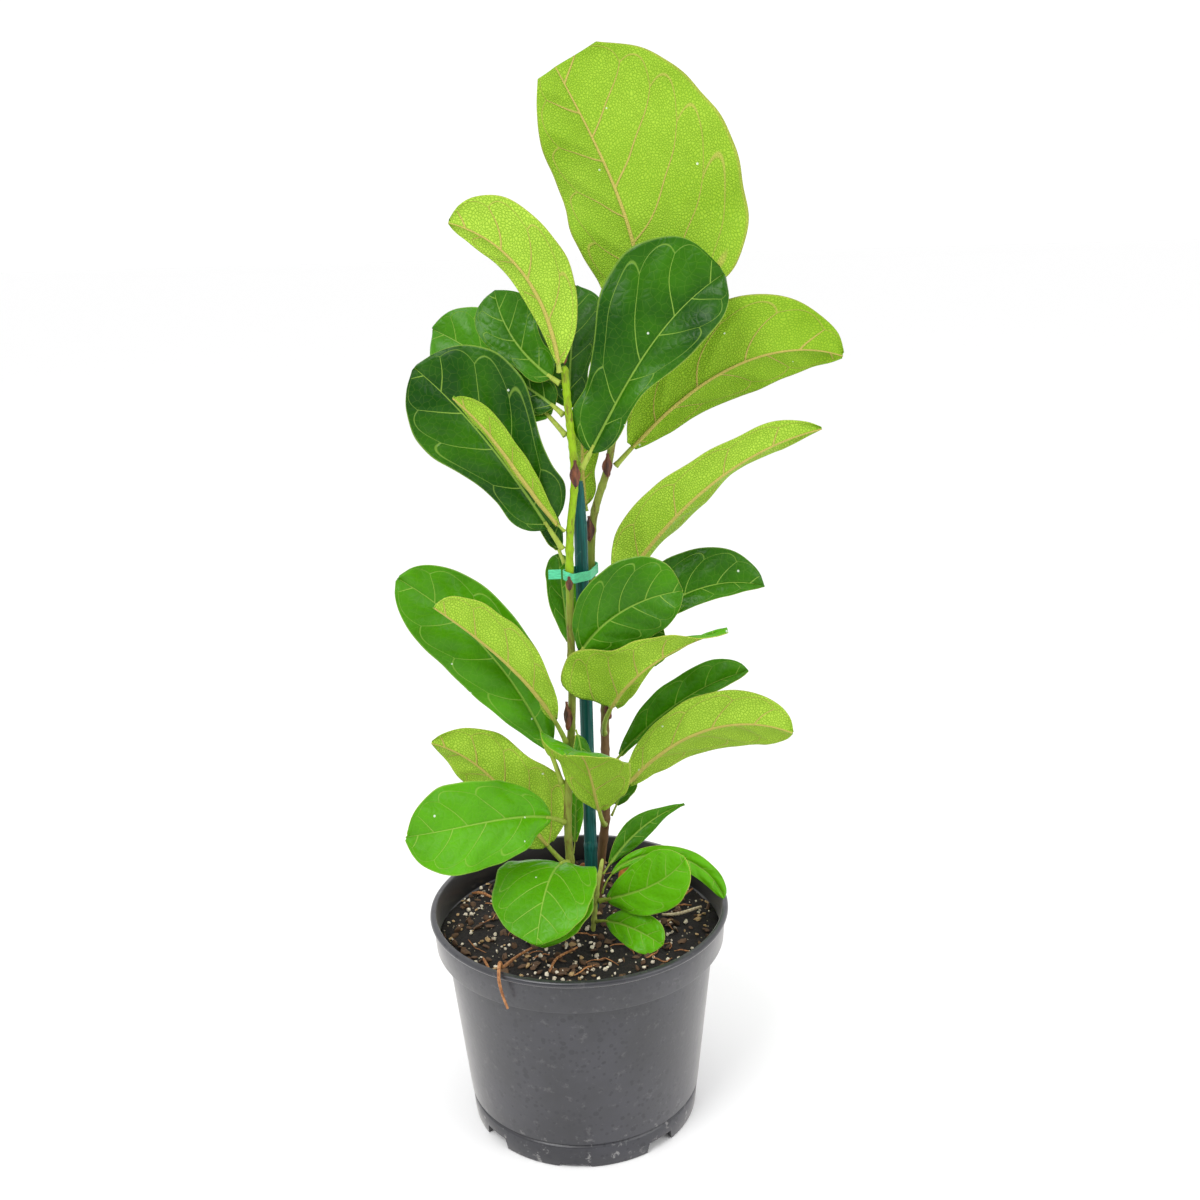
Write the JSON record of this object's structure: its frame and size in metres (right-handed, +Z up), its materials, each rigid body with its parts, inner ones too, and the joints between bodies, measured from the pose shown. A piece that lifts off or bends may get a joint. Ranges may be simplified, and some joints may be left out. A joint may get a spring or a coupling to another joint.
{
  "type": "potted fiddle leaf fig",
  "caption": "Potted fiddle leaf fig: tied canes with large wavy glossy leaves held by a bamboo stake in a round dark nursery pot full of soil.",
  "frame": {"origin": "centre of the pot's underside, on the ground", "axes": "+Z up; -Y is the side seen from the front, with the largest leaf reaching up and to the left (-X)"},
  "size_m": [0.3531, 0.2627, 0.875],
  "materials": {
    "pot": "dull dark grey nursery plastic",
    "soil": "dark loose potting mix with pale grains",
    "stake": "bamboo painted dark green",
    "tape": "mint plastic tie tape",
    "cane": "green and brown bark",
    "shoot": "young green shoot",
    "leaf": "glossy leathery leaf, paler underneath",
    "sheath": "dry brown bud scale",
    "root": "thin dry root",
    "splinter": "pale chip of bark",
    "husk": "dry rust-brown husk"
  },
  "bodies": {
    "root": {"pot": "pot", "soil": "soil", "stake": "stake", "tie": "tape", "tie_tail": "tape", "cane_left": "cane", "cane_right": "cane", "shoot": "shoot", "leaf_01": "leaf", "leaf_02": "leaf", "leaf_03": "leaf", "leaf_04": "leaf", "leaf_05": "leaf", "leaf_06": "leaf", "leaf_07": "leaf", "leaf_08": "leaf", "leaf_09": "leaf", "leaf_10": "leaf", "leaf_11": "leaf", "leaf_12": "leaf", "leaf_13": "leaf", "leaf_14": "leaf", "leaf_15": "leaf", "leaf_16": "leaf", "leaf_17": "leaf", "leaf_18": "leaf", "leaf_19": "leaf", "leaf_20": "leaf", "leaf_21": "leaf", "leaf_22": "leaf", "leaf_23": "leaf", "leaf_24": "leaf", "leaf_25": "leaf", "leaf_26": "leaf", "leaf_27": "leaf", "leaf_28": "leaf", "leaf_29": "leaf", "leaf_30": "leaf", "leaf_31": "leaf", "leaf_32": "leaf", "leaf_33": "leaf", "leaf_34": "leaf", "leaf_35": "leaf", "bud_left": "sheath", "bud_right": "sheath", "sheath_1": "sheath", "sheath_2": "sheath", "sheath_3": "sheath", "sheath_4": "sheath", "sheath_5": "sheath", "sheath_6": "sheath", "root_long": "root", "root_left": "root", "root_back": "root", "root_right": "root", "root_front": "root", "splinter": "splinter", "husk_1": "husk", "husk_2": "husk", "husk_3": "husk"}
  },
  "joints": []
}
